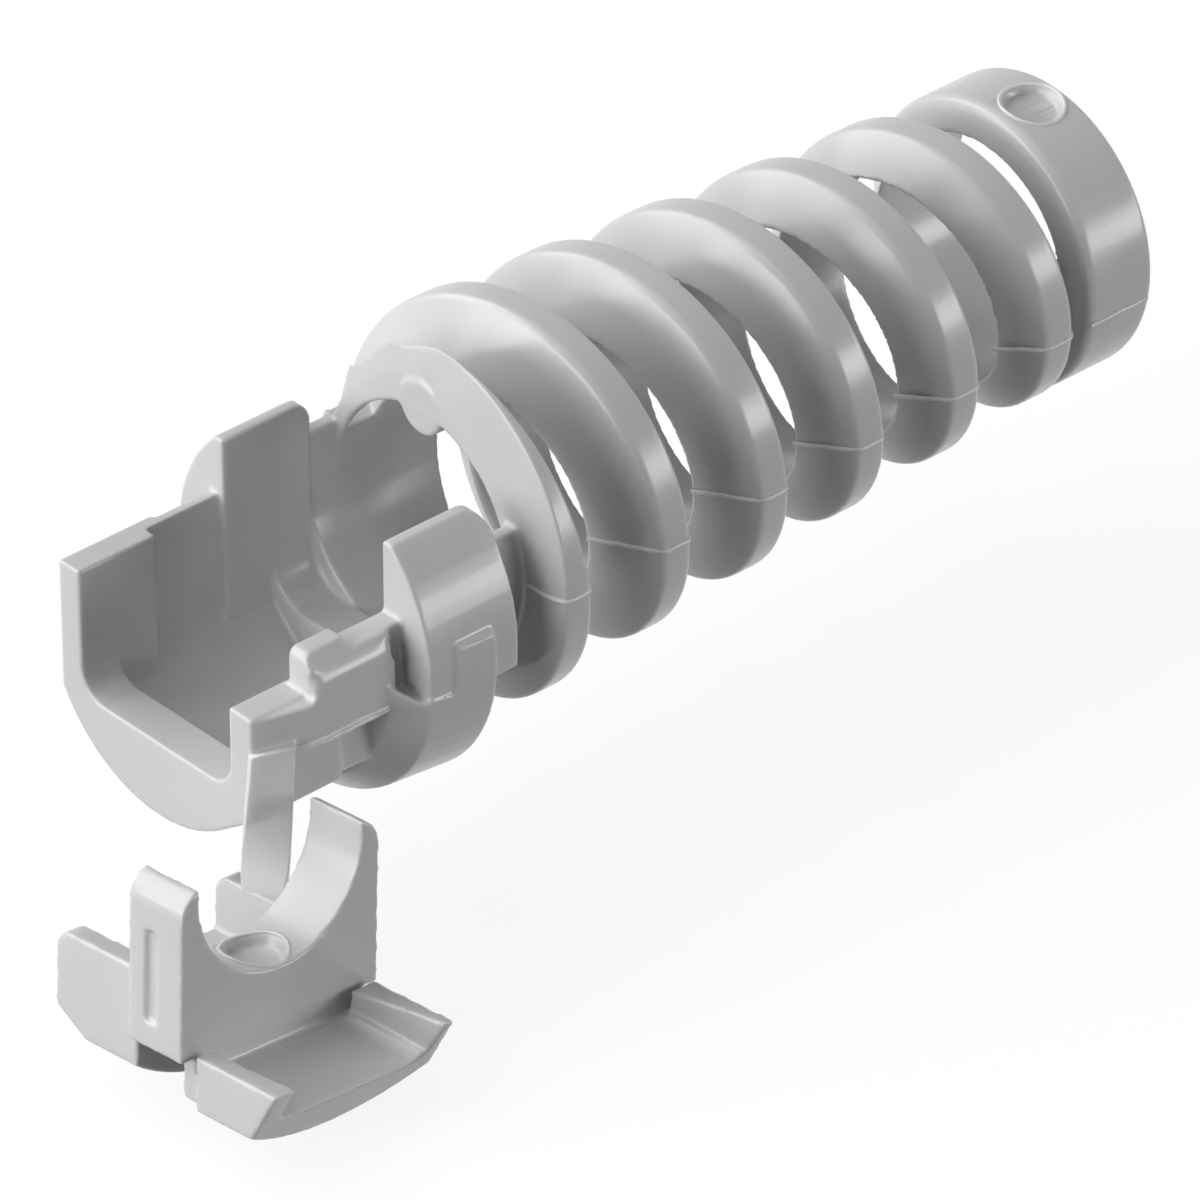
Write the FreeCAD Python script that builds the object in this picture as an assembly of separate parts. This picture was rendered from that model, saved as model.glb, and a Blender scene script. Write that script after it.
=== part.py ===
import FreeCAD, Part
import math
import os

# Strain relief bushing, one moulded piece of nylon, in millimetres.
# X runs along the cable from the head to the collar, and Z is up.
# The origin is on the bore axis, in the front plane of the upper flange jaws.

# Panel hole with two flats, and the clearance of the head in it
panel_hole_diameter = 12.7
panel_hole_across_flats = 11.1
panel_hole_clearance = 0.1
panel_groove_width = 2.83
panel_groove_inset = 0.2

# Bore for the cable
bore_radius = 4.79

# Nose, the part of the head that passes through the panel
nose_length = 4.5
nose_centre_z = -1.2
nose_wall_top = 1.35
nose_right_wall_top = -0.4
nose_wall = 1.2
nose_floor_z = -4.13
nose_floor_corner = 1.2
sill_length = 1.85
thick_wall_length = 3.8
thin_wall = 0.4
pocket_wall = 0.55
lower_corner_angle = 35.0

# Flange that stops the head at the panel
flange_radius = 7.27
flange_centre_z = -1.4
flange_rim = 0.35
flange_rear_x = 3.0
flange_cone_length = 1.3
flange_cone_height = 1.15
flange_draft = 0.25
flange_top_z = -0.12
flange_ledge = ((-1.3, -1.25), (-0.31, -2.01), (1.12, -2.08), (1.34, -0.12))
jaw_gap = 9.06
jaw_length = 4.36
jaw_top_z = 3.85
jaw_corner_radius = 0.9
jaw_floor_z = -4.3
jaw_floor_corner = 1.7
jaw_pocket_length = 2.4
jaw_foot_z = -2.4

# Rear neck between the flange and the coil
rear_neck_radius = 5.8
rear_neck_top_z = 2.15

# Latch rail on the right wall of the head
rail_outset = 0.7
rail_front_outset = 0.1
rail_taper_length = 2.4
rail_bottom_z = -2.2
rail_shelf_top_z = -0.5
rail_block_length = 4.65
rail_block_top_z = 1.25
rail_step_length = 2.65
rail_step_top_z = 0.8
rail_corner_radius = 0.45
rail_slope_width = 0.75
rail_slope_height = 1.1
rail_trough_length = 0.75
rail_trough_floor_y = -5.6

# Coil, a tapered sleeve cut through by one helical slot
coil_front_x = 6.05
coil_front_lead = 0.2
coil_front_rim = 0.1
coil_front_chamfer = 0.3
coil_front_radius = 7.92
coil_pitch = 5.3
coil_turns = 5.2
coil_land = 1.37
coil_rear_flank_run = 1.04
coil_front_flank_run = 1.6
coil_last_flank_run = 1.3
slot_start_turn = -0.44
slot_shallow_turn = -1.0
slot_shallow_step = 0.15
slot_margin = 0.3
points_per_turn = 16
cut_tolerance = 0.001

# Collar at the cable end
collar_length = 3.51
collar_radius = 6.23
collar_front_lean = 0.2
collar_mark_radius = 1.3
collar_mark_depth = 0.35
collar_mark_angle = 8.0

# Wedge that folds in over the cable, in its own frame
wedge_width = 9.86
wedge_plate_thickness = 2.9
wedge_saddle_radius = 4.07
wedge_plate_depth = 6.47
wedge_horn_height = 0.45
wedge_horn_corner = 1.1
wedge_groove_depth = 0.2
wedge_groove_near = 1.4
wedge_groove_far = 2.0
wedge_groove_top_z = -1.6
wedge_groove_bottom_z = -5.4
wedge_tray_gap = 0.3
wedge_web_width = 8.4
wedge_web_thickness = 0.7
wedge_web_bottom_z = -8.3
outer_tray_width = 9.0
outer_tray_length = 4.6
outer_tray_bottom_radius = 9.5
outer_tray_depth = 9.5
outer_tray_lip_z = -6.15
outer_tray_floor_z = -7.2
outer_tray_floor_drop = 0.8
outer_tray_left_lip = 0.76
outer_tray_left_lip_front = 1.07
outer_tray_right_lip = 1.3
outer_tray_right_lip_front = 0.45
outer_tray_corner = 0.7
outer_tray_front_slope = 1.9
inner_tray_width = 8.9
inner_tray_length = 4.47
inner_tray_bottom_radius = 7.8
inner_tray_depth = 9.25
inner_tray_lip_z = -3.8
inner_tray_right_lip_z = -4.3
inner_tray_floor_z = -6.6
inner_tray_lip = 0.95
inner_tray_end_corner = 0.75
inner_tray_end_slope = 2.3
inner_tray_end_rise = 0.9

# Pose of the wedge as it hangs from its strap
wedge_origin = (-9.73, -10.03, -3.43)
wedge_yaw = 2.13
wedge_pitch = 6.46
wedge_roll = -4.62

# Film strap between the rail and the wedge
strap_thickness = 0.38
strap_top_width = 1.75
strap_top_angle = -18.0
strap_bottom_width = 2.1
strap_bottom_angle = -80.0
strap_seat = 0.35

# Sizes that follow from the ones above
nose_radius = panel_hole_diameter / 2 - panel_hole_clearance
head_half_width = panel_hole_across_flats / 2 - panel_hole_clearance
neck_radius = nose_radius - panel_groove_inset
neck_half_width = head_half_width - panel_groove_inset
nose_rear_x = -panel_groove_width
nose_front_x = nose_rear_x - nose_length
jaw_y = jaw_gap / 2
nose_inner_y = head_half_width - nose_wall
collar_front_x = coil_front_x + coil_land + coil_pitch * coil_turns
collar_rear_x = collar_front_x + collar_length
rail_y = -head_half_width - rail_outset
reach = 60.0
full_turn = 360.0
tolerance = 1e-6


def box(x_low, x_high, y_low, y_high, z_low, z_high):
    """A box between two corners."""
    return Part.makeBox(
        x_high - x_low, y_high - y_low, z_high - z_low, FreeCAD.Vector(x_low, y_low, z_low)
    )


def disc(x_low, x_high, radius, centre_z=0.0):
    """A round bar along X."""
    return Part.makeCylinder(
        radius, x_high - x_low, FreeCAD.Vector(x_low, 0, centre_z), FreeCAD.Vector(1, 0, 0)
    )


def outline(points):
    """A flat face inside a closed run of straight edges."""
    corners = [FreeCAD.Vector(*point) for point in points]
    return Part.Face(Part.makePolygon(corners + corners[:1]))


def turned(profile, centre_z=0.0):
    """A solid turned about a line along X, from places along X with their radii."""
    face = outline([(x, 0, centre_z + radius) for x, radius in profile])
    return face.revolve(FreeCAD.Vector(0, 0, centre_z), FreeCAD.Vector(1, 0, 0), full_turn)


def round_with_flats(x_low, x_high, half_width, radius, top_z):
    """The head's section: flat sides, a round below and a straight lower right corner."""
    centre = nose_centre_z
    left_end = centre - math.sqrt(radius ** 2 - half_width ** 2)
    angle = math.radians(lower_corner_angle)
    tangent_y = -radius * math.sin(angle)
    tangent_z = centre - radius * math.cos(angle)
    corner_z = tangent_z + (half_width + tangent_y) * math.tan(angle)

    def at(y, z):
        return FreeCAD.Vector(x_low, y, z)

    bottom = at(0, centre - radius)
    arc = Part.Arc(at(half_width, left_end), bottom, at(tangent_y, tangent_z)).toShape()
    corners = [
        at(tangent_y, tangent_z),
        at(-half_width, corner_z),
        at(-half_width, top_z),
        at(half_width, top_z),
        at(half_width, left_end),
    ]
    wire = Part.Wire([arc] + Part.makePolygon(corners).Edges)
    return Part.Face(wire).extrude(FreeCAD.Vector(x_high - x_low, 0, 0))


def edges_along(shape, axis, **places):
    """The straight edges of a shape along one axis whose middles lie at the given places."""
    found = []
    for edge in shape.Edges:
        middle = edge.CenterOfMass
        along = abs(getattr(edge.tangentAt(edge.FirstParameter), axis)) > 1 - tolerance
        if along and all(abs(getattr(middle, name) - places[name]) < tolerance for name in places):
            found.append(edge)
    return found


def channel(x_low, x_high, right_y, left_y, floor_z, corner):
    """The hollow of an open channel along X, with rounded lower corners."""
    hollow = box(x_low, x_high, right_y, left_y, floor_z, reach)
    return hollow.makeFillet(corner, edges_along(hollow, "x", z=floor_z))


def side_profile(points, y_low, y_high):
    """A closed outline seen from the side, drawn in X and Z, as thick as the span in Y."""
    face = outline([(x, y_low, z) for x, z in points])
    return face.extrude(FreeCAD.Vector(0, y_high - y_low, 0))


def make_nose_and_neck():
    """Nose and panel groove as solid bars, before they are hollowed."""
    nose = round_with_flats(
        nose_front_x, nose_rear_x, head_half_width, nose_radius, nose_wall_top
    )
    neck = round_with_flats(nose_rear_x, 0, neck_half_width, neck_radius, nose_wall_top)
    low_right = box(nose_front_x, 0, -reach, 0, nose_right_wall_top, reach)
    return nose.fuse(neck).cut(low_right)


def make_jaw(side):
    """One upper jaw of the flange, on the left for side 1 and on the right for side -1."""
    points = [
        (0, jaw_foot_z),
        (jaw_length, jaw_foot_z),
        (jaw_length, jaw_top_z),
        (0, jaw_top_z),
    ]
    low, high = sorted((side * jaw_y, side * flange_radius))
    block = side_profile(points, low, high)
    rear_top = edges_along(block, "y", x=jaw_length, z=jaw_top_z)
    rounded = block.makeFillet(jaw_corner_radius, rear_top)
    return rounded.common(disc(0, jaw_length, flange_radius, flange_centre_z))


def make_flange():
    """Lower flange, turned with a steep front cone and a slight draft, and its two jaws."""
    rim_radius = flange_radius + flange_rim
    front_radius = rim_radius - flange_draft
    lower = turned(
        [
            (-flange_cone_length, 0),
            (-flange_cone_length, front_radius - flange_cone_height),
            (0, front_radius),
            (flange_rear_x, rim_radius),
            (flange_rear_x, 0),
        ],
        flange_centre_z,
    )
    above_ledge = [(-flange_cone_length, reach), *flange_ledge]
    above_ledge += [(flange_rear_x, flange_top_z), (flange_rear_x, reach)]
    lower = lower.cut(side_profile(above_ledge, -reach, reach))
    return lower.fuse(make_jaw(1)).fuse(make_jaw(-1))


def make_rear_neck():
    """Open wall between the flange and the coil."""
    wall = disc(0, coil_front_x, rear_neck_radius)
    return wall.cut(box(-reach, reach, -reach, reach, rear_neck_top_z, reach))


def make_rail():
    """Latch rail along the right wall, with its low shelf, its block and its step."""
    points = [
        (nose_front_x, rail_bottom_z),
        (0, rail_bottom_z),
        (0, rail_step_top_z),
        (-rail_step_length, rail_step_top_z),
        (-rail_step_length, rail_block_top_z),
        (-rail_block_length, rail_block_top_z),
        (-rail_block_length, rail_shelf_top_z),
        (nose_front_x, rail_shelf_top_z),
    ]
    bar = side_profile(points, rail_y, -jaw_y)
    front_top = edges_along(bar, "y", x=-rail_block_length, z=rail_block_top_z)
    bar = bar.makeFillet(rail_corner_radius, front_top)
    taper = outline(
        [
            (nose_front_x, rail_y, rail_bottom_z),
            (nose_front_x + rail_taper_length, rail_y, rail_bottom_z),
            (nose_front_x, -head_half_width - rail_front_outset, rail_bottom_z),
        ]
    ).extrude(FreeCAD.Vector(0, 0, reach))
    slope = outline(
        [
            (-rail_block_length, rail_y, rail_block_top_z - rail_slope_height),
            (-rail_block_length, rail_y + rail_slope_width, rail_block_top_z),
            (-rail_block_length, rail_y, rail_block_top_z),
        ]
    ).extrude(FreeCAD.Vector(rail_block_length, 0, 0))
    trough = box(-rail_trough_length, 0, -reach, rail_trough_floor_y, rail_bottom_z, reach)
    return bar.cut([taper, slope, trough])


def make_head_hollow():
    """Everything that is cut out of the head: sill, pocket, jaw channel and bore."""
    sill_end_x = nose_front_x + sill_length
    thick_end_x = nose_front_x + thick_wall_length
    sill = channel(
        nose_front_x - reach, sill_end_x, -nose_inner_y, nose_inner_y, nose_floor_z, nose_floor_corner
    )
    pocket_bar = disc(sill_end_x, jaw_pocket_length, neck_radius - pocket_wall, nose_centre_z)
    pocket_bar = pocket_bar.fuse(
        box(sill_end_x, jaw_pocket_length, -reach, reach, nose_centre_z, reach)
    )
    front_slab = box(sill_end_x, thick_end_x, -nose_inner_y, nose_inner_y, -reach, reach)
    middle_slab = box(thick_end_x, 0, -jaw_y, neck_half_width - thin_wall, -reach, reach)
    rear_slab = box(0, jaw_pocket_length, -jaw_y, jaw_y, -reach, reach)
    pocket = pocket_bar.common(front_slab.fuse(middle_slab).fuse(rear_slab))
    jaw_channel = channel(
        jaw_pocket_length, jaw_length, -jaw_y, jaw_y, jaw_floor_z, jaw_floor_corner
    )
    bore = disc(jaw_length, reach, bore_radius)
    ring_x = coil_front_x - coil_front_lead
    above_bore = box(jaw_length, ring_x, -bore_radius, bore_radius, 0, reach)
    return sill.fuse([pocket, jaw_channel, bore, above_bore])


def coil_share(x):
    """How far a place along the axis lies from the coil's front to the collar."""
    return (x - coil_front_x) / (collar_front_x - coil_front_x)


def coil_radius(x):
    """Outer radius of the tapered coil at a place along the axis."""
    return coil_front_radius + (collar_radius - coil_front_radius) * coil_share(x)


def slot_corner(turn, floor_radius, rear):
    """A corner of the slot's section at a turn: at its floor, or above the coil if that is None."""
    land_rear_x = coil_front_x + coil_land + coil_pitch * turn
    outer_radius = coil_radius(land_rear_x)
    radius = outer_radius + slot_margin if floor_radius is None else floor_radius
    depth = (outer_radius - radius) / (outer_radius - bore_radius)
    x = land_rear_x + coil_rear_flank_run * depth
    if rear:
        narrowing = (coil_front_flank_run - coil_last_flank_run) * coil_share(land_rear_x)
        x = land_rear_x + coil_pitch - coil_land - (coil_front_flank_run - narrowing) * depth
    angle = 2 * math.pi * turn
    return FreeCAD.Vector(x, -radius * math.cos(angle), -radius * math.sin(angle))


def ruled_wall(first, second):
    """The face that straight lines sweep between two curves with the same knots."""
    surface = Part.BSplineSurface()
    surface.buildFromPolesMultsKnots(
        [first.getPoles(), second.getPoles()],
        [2, 2],
        first.getMultiplicities(),
        [0, 1],
        first.getKnots(),
        False,
        False,
        1,
        first.Degree,
    )
    return surface.toShape()


def helical_slot(first_turn, last_turn, floor_radius):
    """A solid of the slot between two turns of the helix, down to a floor radius."""
    steps = round((last_turn - first_turn) * points_per_turn)
    turns = [first_turn + (last_turn - first_turn) * i / steps for i in range(steps + 1)]
    corners = [(floor_radius, False), (None, False), (None, True), (floor_radius, True)]
    curves = []
    for radius, rear in corners:
        curve = Part.BSplineCurve()
        points = [slot_corner(turn, radius, rear) for turn in turns]
        curve.interpolate(Points=points, Parameters=turns)
        curves.append(curve)
    faces = [ruled_wall(curves[i - 1], curves[i]) for i in range(len(curves))]
    for turn in (first_turn, last_turn):
        ends = [slot_corner(turn, radius, rear) for radius, rear in corners]
        faces.append(outline(ends))
    shell = Part.Shell(faces)
    shell.sewShape()
    slot = Part.Solid(shell)
    if slot.Volume < 0:
        slot.reverse()
    return slot


def make_coil():
    """Tapered sleeve with its helical slot, and the collar that ends it."""
    rim_x = coil_front_x + coil_front_rim
    sleeve = turned(
        [
            (coil_front_x - coil_front_lead, 0),
            (coil_front_x - coil_front_lead, bore_radius),
            (rim_x, coil_front_radius - coil_front_chamfer),
            (rim_x + coil_front_chamfer, coil_radius(rim_x + coil_front_chamfer)),
            (collar_front_x, collar_radius),
            (collar_front_x, 0),
        ]
    )
    through = helical_slot(slot_start_turn, coil_turns, bore_radius - slot_margin)
    shallow_floor = rear_neck_radius + slot_shallow_step
    shallow = helical_slot(slot_shallow_turn, slot_start_turn, shallow_floor)
    sleeve = sleeve.cut(through, cut_tolerance).cut(shallow, cut_tolerance)
    collar = disc(collar_front_x, collar_rear_x, collar_radius)
    front_cone = Part.makeCone(
        bore_radius,
        collar_radius,
        collar_front_lean,
        FreeCAD.Vector(collar_front_x - collar_front_lean, 0, 0),
        FreeCAD.Vector(1, 0, 0),
    )
    mark_x = (collar_front_x + collar_rear_x) / 2
    mark = Part.makeCylinder(
        collar_mark_radius,
        reach,
        FreeCAD.Vector(mark_x, 0, collar_radius - collar_mark_depth),
        FreeCAD.Vector(0, 0, 1),
    )
    mark.rotate(FreeCAD.Vector(mark_x, 0, 0), FreeCAD.Vector(1, 0, 0), collar_mark_angle)
    return sleeve.fuse(collar).fuse(front_cone).cut(mark)


def tray_round(y_near, y_far, width, radius, depth):
    """A bar along Y whose underside is a shallow round, as wide as a tray of the wedge."""
    bar = Part.makeCylinder(
        radius, y_far - y_near, FreeCAD.Vector(0, y_near, radius - depth), FreeCAD.Vector(0, 1, 0)
    )
    return bar.common(box(-width / 2, width / 2, y_near, y_far, -depth, 0))


def make_wedge_plate():
    """Upright plate of the wedge with its saddle and two horns."""
    half = wedge_width / 2
    plate = box(-half, half, 0, wedge_plate_thickness, -wedge_plate_depth, wedge_horn_height)
    plate = plate.makeFillet(wedge_horn_corner, edges_along(plate, "y", z=wedge_horn_height))
    saddle = Part.makeCylinder(
        wedge_saddle_radius, reach, FreeCAD.Vector(0, -reach / 2, 0), FreeCAD.Vector(0, 1, 0)
    )
    groove = box(
        -reach,
        -half + wedge_groove_depth,
        wedge_groove_near,
        wedge_groove_far,
        wedge_groove_bottom_z,
        wedge_groove_top_z,
    )
    return plate.cut([saddle, groove])


def make_outer_tray():
    """Tray that closes the flange when the wedge is folded in."""
    length = outer_tray_length
    half = outer_tray_width / 2
    tray = tray_round(
        -length, -wedge_tray_gap, outer_tray_width, outer_tray_bottom_radius, outer_tray_depth
    )
    tray = tray.cut(box(-reach, reach, -reach, 0, outer_tray_lip_z, reach))
    floor_points = [
        (0, outer_tray_floor_z),
        (-length, outer_tray_floor_z - outer_tray_floor_drop),
        (-length, 0),
        (0, 0),
    ]
    above_floor = outline([(-half, y, z) for y, z in floor_points])
    above_floor = above_floor.extrude(FreeCAD.Vector(outer_tray_width, 0, 0))
    plan = [
        (-half + outer_tray_left_lip, 0),
        (half - outer_tray_right_lip, 0),
        (half - outer_tray_right_lip_front, -length),
        (-half + outer_tray_left_lip_front, -length),
    ]
    well = outline([(x, y, -outer_tray_depth) for x, y in plan])
    hollow = well.extrude(FreeCAD.Vector(0, 0, outer_tray_depth)).common(above_floor)
    lower = [
        edge
        for edge in hollow.Edges
        if edge.CenterOfMass.z < outer_tray_floor_z and edge.BoundBox.YLength > length - tolerance
    ]
    hollow = hollow.makeFillet(outer_tray_corner, lower)
    front_points = [
        (-length, outer_tray_lip_z),
        (-length + outer_tray_front_slope, -outer_tray_depth),
        (-length, -outer_tray_depth),
    ]
    front = outline([(-half, y, z) for y, z in front_points])
    front = front.extrude(FreeCAD.Vector(outer_tray_width, 0, 0))
    web_points = [
        (-wedge_tray_gap, wedge_web_bottom_z),
        (wedge_web_thickness, wedge_web_bottom_z),
        (wedge_web_thickness, outer_tray_lip_z),
        (0, outer_tray_lip_z),
        (0, outer_tray_floor_z),
        (-wedge_tray_gap, outer_tray_floor_z),
    ]
    web = outline([(-wedge_web_width / 2, y, z) for y, z in web_points])
    web = web.extrude(FreeCAD.Vector(wedge_web_width, 0, 0))
    return tray.cut(hollow).cut(front).fuse(web)


def make_inner_tray():
    """Tray that closes the nose when the wedge is folded in."""
    near = wedge_plate_thickness
    far = near + inner_tray_length
    half = inner_tray_width / 2
    tray = tray_round(near, far, inner_tray_width, inner_tray_bottom_radius, inner_tray_depth)
    tray = tray.cut(box(-reach, reach, near, reach, inner_tray_lip_z, reach))
    tray = tray.cut(box(0, reach, near, reach, inner_tray_right_lip_z, reach))
    inner_half = half - inner_tray_lip
    tray = tray.cut(
        box(-inner_half, inner_half, near, reach, inner_tray_floor_z, reach)
    )
    end_points = [
        (far, -inner_tray_depth + inner_tray_end_slope),
        (far - inner_tray_end_slope, -inner_tray_depth + inner_tray_end_rise),
        (far - inner_tray_end_slope, -inner_tray_depth),
        (far, -inner_tray_depth),
    ]
    end = outline([(-half, y, z) for y, z in end_points])
    end = end.extrude(FreeCAD.Vector(inner_tray_width, 0, 0))
    tray = tray.cut(end)
    tops = [
        edge
        for edge in edges_along(tray, "x", y=far)
        if edge.CenterOfMass.z > inner_tray_right_lip_z - tolerance
    ]
    return tray.makeFillet(inner_tray_end_corner, tops)


def wedge_placement():
    """Where the wedge hangs, and how far it is turned."""
    turn = FreeCAD.Rotation(wedge_yaw, wedge_pitch, wedge_roll)
    return FreeCAD.Placement(FreeCAD.Vector(*wedge_origin), turn)


def make_wedge():
    """The whole wedge in its hanging place."""
    wedge = make_wedge_plate().fuse(make_outer_tray()).fuse(make_inner_tray())
    wedge.Placement = wedge_placement().multiply(wedge.Placement)
    return wedge


def strap_corners(centre, width, angle):
    """Corners of a thin level rectangle, turned about Z."""
    half_width = width / 2
    half_thickness = strap_thickness / 2
    turn = FreeCAD.Rotation(FreeCAD.Vector(0, 0, 1), angle)
    corners = [
        FreeCAD.Vector(-half_width, -half_thickness, 0),
        FreeCAD.Vector(half_width, -half_thickness, 0),
        FreeCAD.Vector(half_width, half_thickness, 0),
        FreeCAD.Vector(-half_width, half_thickness, 0),
    ]
    return [centre + turn.multVec(corner) for corner in corners]


def make_strap():
    """Film strap from the underside of the rail to the right lip of the wedge's inner tray."""
    top = FreeCAD.Vector(
        nose_front_x + strap_top_width / 2, rail_y + rail_outset / 2, rail_bottom_z + strap_seat
    )
    lip = FreeCAD.Vector(
        inner_tray_width / 2 - inner_tray_lip / 2,
        wedge_plate_thickness + inner_tray_length / 2,
        inner_tray_right_lip_z - strap_seat,
    )
    bottom = wedge_placement().multVec(lip)
    upper = strap_corners(top, strap_top_width, strap_top_angle)
    lower = strap_corners(bottom, strap_bottom_width, strap_bottom_angle)
    faces = [outline(upper), outline(lower)]
    for i in range(len(upper)):
        faces.append(outline([upper[i - 1], upper[i], lower[i]]))
        faces.append(outline([upper[i - 1], lower[i], lower[i - 1]]))
    strap = Part.Solid(Part.Shell(faces))
    if strap.Volume < 0:
        strap.reverse()
    return strap


def make_bushing():
    """The whole bushing as one solid."""
    head = make_nose_and_neck().fuse([make_flange(), make_rear_neck(), make_rail()])
    body = head.fuse(make_coil()).cut(make_head_hollow())
    bushing = body.fuse([make_strap(), make_wedge()])
    return bushing.removeSplitter()


os.makedirs("parts", exist_ok=True)
bushing = make_bushing()
bushing.exportStep("parts/strain_relief_bushing.step")
print("valid", bushing.isValid(), "solids", len(bushing.Solids), "volume", round(bushing.Volume, 1))
print("box", bushing.BoundBox)
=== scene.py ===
"""Looks of a strain relief bushing: soft-edged moulded nylon with its coil, mould flash and film strap."""

import logging
import math
from collections.abc import Callable
from dataclasses import dataclass
from enum import Enum

import bmesh
import bpy
from mathutils import Matrix, Vector


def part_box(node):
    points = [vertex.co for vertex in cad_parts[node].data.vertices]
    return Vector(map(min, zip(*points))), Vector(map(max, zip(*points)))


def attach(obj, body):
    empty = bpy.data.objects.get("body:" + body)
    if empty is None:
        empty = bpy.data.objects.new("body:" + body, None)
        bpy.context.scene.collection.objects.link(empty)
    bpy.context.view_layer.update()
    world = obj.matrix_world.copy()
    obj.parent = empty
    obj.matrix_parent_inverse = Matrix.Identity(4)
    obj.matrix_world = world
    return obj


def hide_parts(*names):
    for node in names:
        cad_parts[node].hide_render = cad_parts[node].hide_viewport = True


MM = 0.001
WELD = 1e-6
FINE_WELD = 1e-8
TINY_EDGE = 1e-7
TURN_SLACK = 1e-9
NODE = "strain_relief_bushing"
BODY = "root"

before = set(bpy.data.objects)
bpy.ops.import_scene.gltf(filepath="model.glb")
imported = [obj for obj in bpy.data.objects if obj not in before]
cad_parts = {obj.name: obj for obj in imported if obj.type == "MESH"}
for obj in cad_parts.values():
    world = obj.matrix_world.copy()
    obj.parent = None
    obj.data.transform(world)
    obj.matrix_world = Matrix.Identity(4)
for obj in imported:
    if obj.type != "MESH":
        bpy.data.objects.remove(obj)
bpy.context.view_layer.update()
logging.basicConfig(level=logging.INFO, format="%(message)s")
log = logging.getLogger("bushing")


class Flash(Enum):
    """Kinds of mould flash, each with the half thickness of its line and how far it wanders, in metres."""

    PARTING = (0.095 * MM, 0.05 * MM)
    EJECTOR = (0.08 * MM, 0.03 * MM)
    RAIL = (0.13 * MM, 0.1 * MM)

    @property
    def half_thickness(self) -> float:
        """Half the thickness of the line."""
        return self.value[0]

    @property
    def wander(self) -> float:
        """How far the line wanders from its path."""
        return self.value[1]


@dataclass(frozen=True)
class NylonFinish:
    """Light grey moulded nylon: mottled colour, and gloss that comes and goes in patches."""

    name: str = "moulded_nylon"
    colour: tuple[float, float, float] = (0.59, 0.59, 0.585)
    darker: float = 0.95
    mottle_size: float = 260.0
    mottle_detail: float = 4.0
    mottle_range: tuple[float, float] = (0.35, 0.65)
    roughness_low: float = 0.20
    roughness_high: float = 0.27
    grain_size: float = 5200.0
    grain_detail: float = 2.0
    grain_strength: float = 0.03
    grain_depth: float = 0.0001
    subsurface: float = 0.12
    subsurface_reach: float = 0.0012
    subsurface_tint: tuple[float, float, float] = (1.0, 0.9, 0.8)
    see_through: float = 0.0
    ior: float = 1.53

    def material(self) -> bpy.types.Material:
        """Builds the node tree of the finish.

        Returns:
            The material, ready for a slot.
        """
        material = bpy.data.materials.new(self.name)
        material.use_nodes = True
        nodes = material.node_tree.nodes
        links = material.node_tree.links
        shader = nodes["Principled BSDF"]
        place = nodes.new("ShaderNodeTexCoord")

        mottle = nodes.new("ShaderNodeTexNoise")
        mottle.inputs["Scale"].default_value = self.mottle_size
        mottle.inputs["Detail"].default_value = self.mottle_detail
        links.new(place.outputs["Object"], mottle.inputs["Vector"])
        tint = nodes.new("ShaderNodeMix")
        tint.data_type = "RGBA"
        tint.inputs["A"].default_value = (*[part * self.darker for part in self.colour], 1.0)
        tint.inputs["B"].default_value = (*self.colour, 1.0)
        links.new(mottle.outputs["Fac"], tint.inputs["Factor"])
        links.new(tint.outputs["Result"], shader.inputs["Base Color"])

        gloss = nodes.new("ShaderNodeMapRange")
        gloss.inputs["From Min"].default_value = self.mottle_range[0]
        gloss.inputs["From Max"].default_value = self.mottle_range[1]
        gloss.inputs["To Min"].default_value = self.roughness_low
        gloss.inputs["To Max"].default_value = self.roughness_high
        links.new(mottle.outputs["Fac"], gloss.inputs["Value"])
        links.new(gloss.outputs["Result"], shader.inputs["Roughness"])

        grain = nodes.new("ShaderNodeTexNoise")
        grain.inputs["Scale"].default_value = self.grain_size
        grain.inputs["Detail"].default_value = self.grain_detail
        links.new(place.outputs["Object"], grain.inputs["Vector"])
        bump = nodes.new("ShaderNodeBump")
        bump.inputs["Strength"].default_value = self.grain_strength
        bump.inputs["Distance"].default_value = self.grain_depth
        links.new(grain.outputs["Fac"], bump.inputs["Height"])
        links.new(bump.outputs["Normal"], shader.inputs["Normal"])

        shader.inputs["Subsurface Weight"].default_value = self.subsurface
        shader.inputs["Subsurface Radius"].default_value = self.subsurface_tint
        shader.inputs["Subsurface Scale"].default_value = self.subsurface_reach
        shader.inputs["Transmission Weight"].default_value = self.see_through
        shader.inputs["IOR"].default_value = self.ior
        return material


def merged(mesh: bpy.types.Mesh, distance: float) -> bmesh.types.BMesh:
    """Copies a mesh of loose triangles and joins them.

    Args:
        mesh: The mesh to copy.
        distance: How far apart two vertices may be to become one, in metres.

    Returns:
        The joined copy.
    """
    work = bmesh.new()
    work.from_mesh(mesh)
    bmesh.ops.remove_doubles(work, verts=work.verts, dist=distance)
    return work


def new_piece(name: str, work: bmesh.types.BMesh) -> bpy.types.Object:
    """Makes an object from worked geometry and frees that geometry.

    Args:
        name: The name of the piece.
        work: The geometry.

    Returns:
        The object, at the origin.
    """
    mesh = bpy.data.meshes.new(name)
    work.to_mesh(mesh)
    work.free()
    piece = bpy.data.objects.new(name, mesh)
    bpy.context.scene.collection.objects.link(piece)
    return piece


def plain_mesh(piece: bpy.types.Object) -> None:
    """Turns a piece with live modifiers into a plain mesh without them.

    Args:
        piece: The object, changed in place.
    """
    evaluated = piece.evaluated_get(bpy.context.evaluated_depsgraph_get())
    mesh = bpy.data.meshes.new_from_object(evaluated)
    piece.modifiers.clear()
    piece.data = mesh


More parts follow.
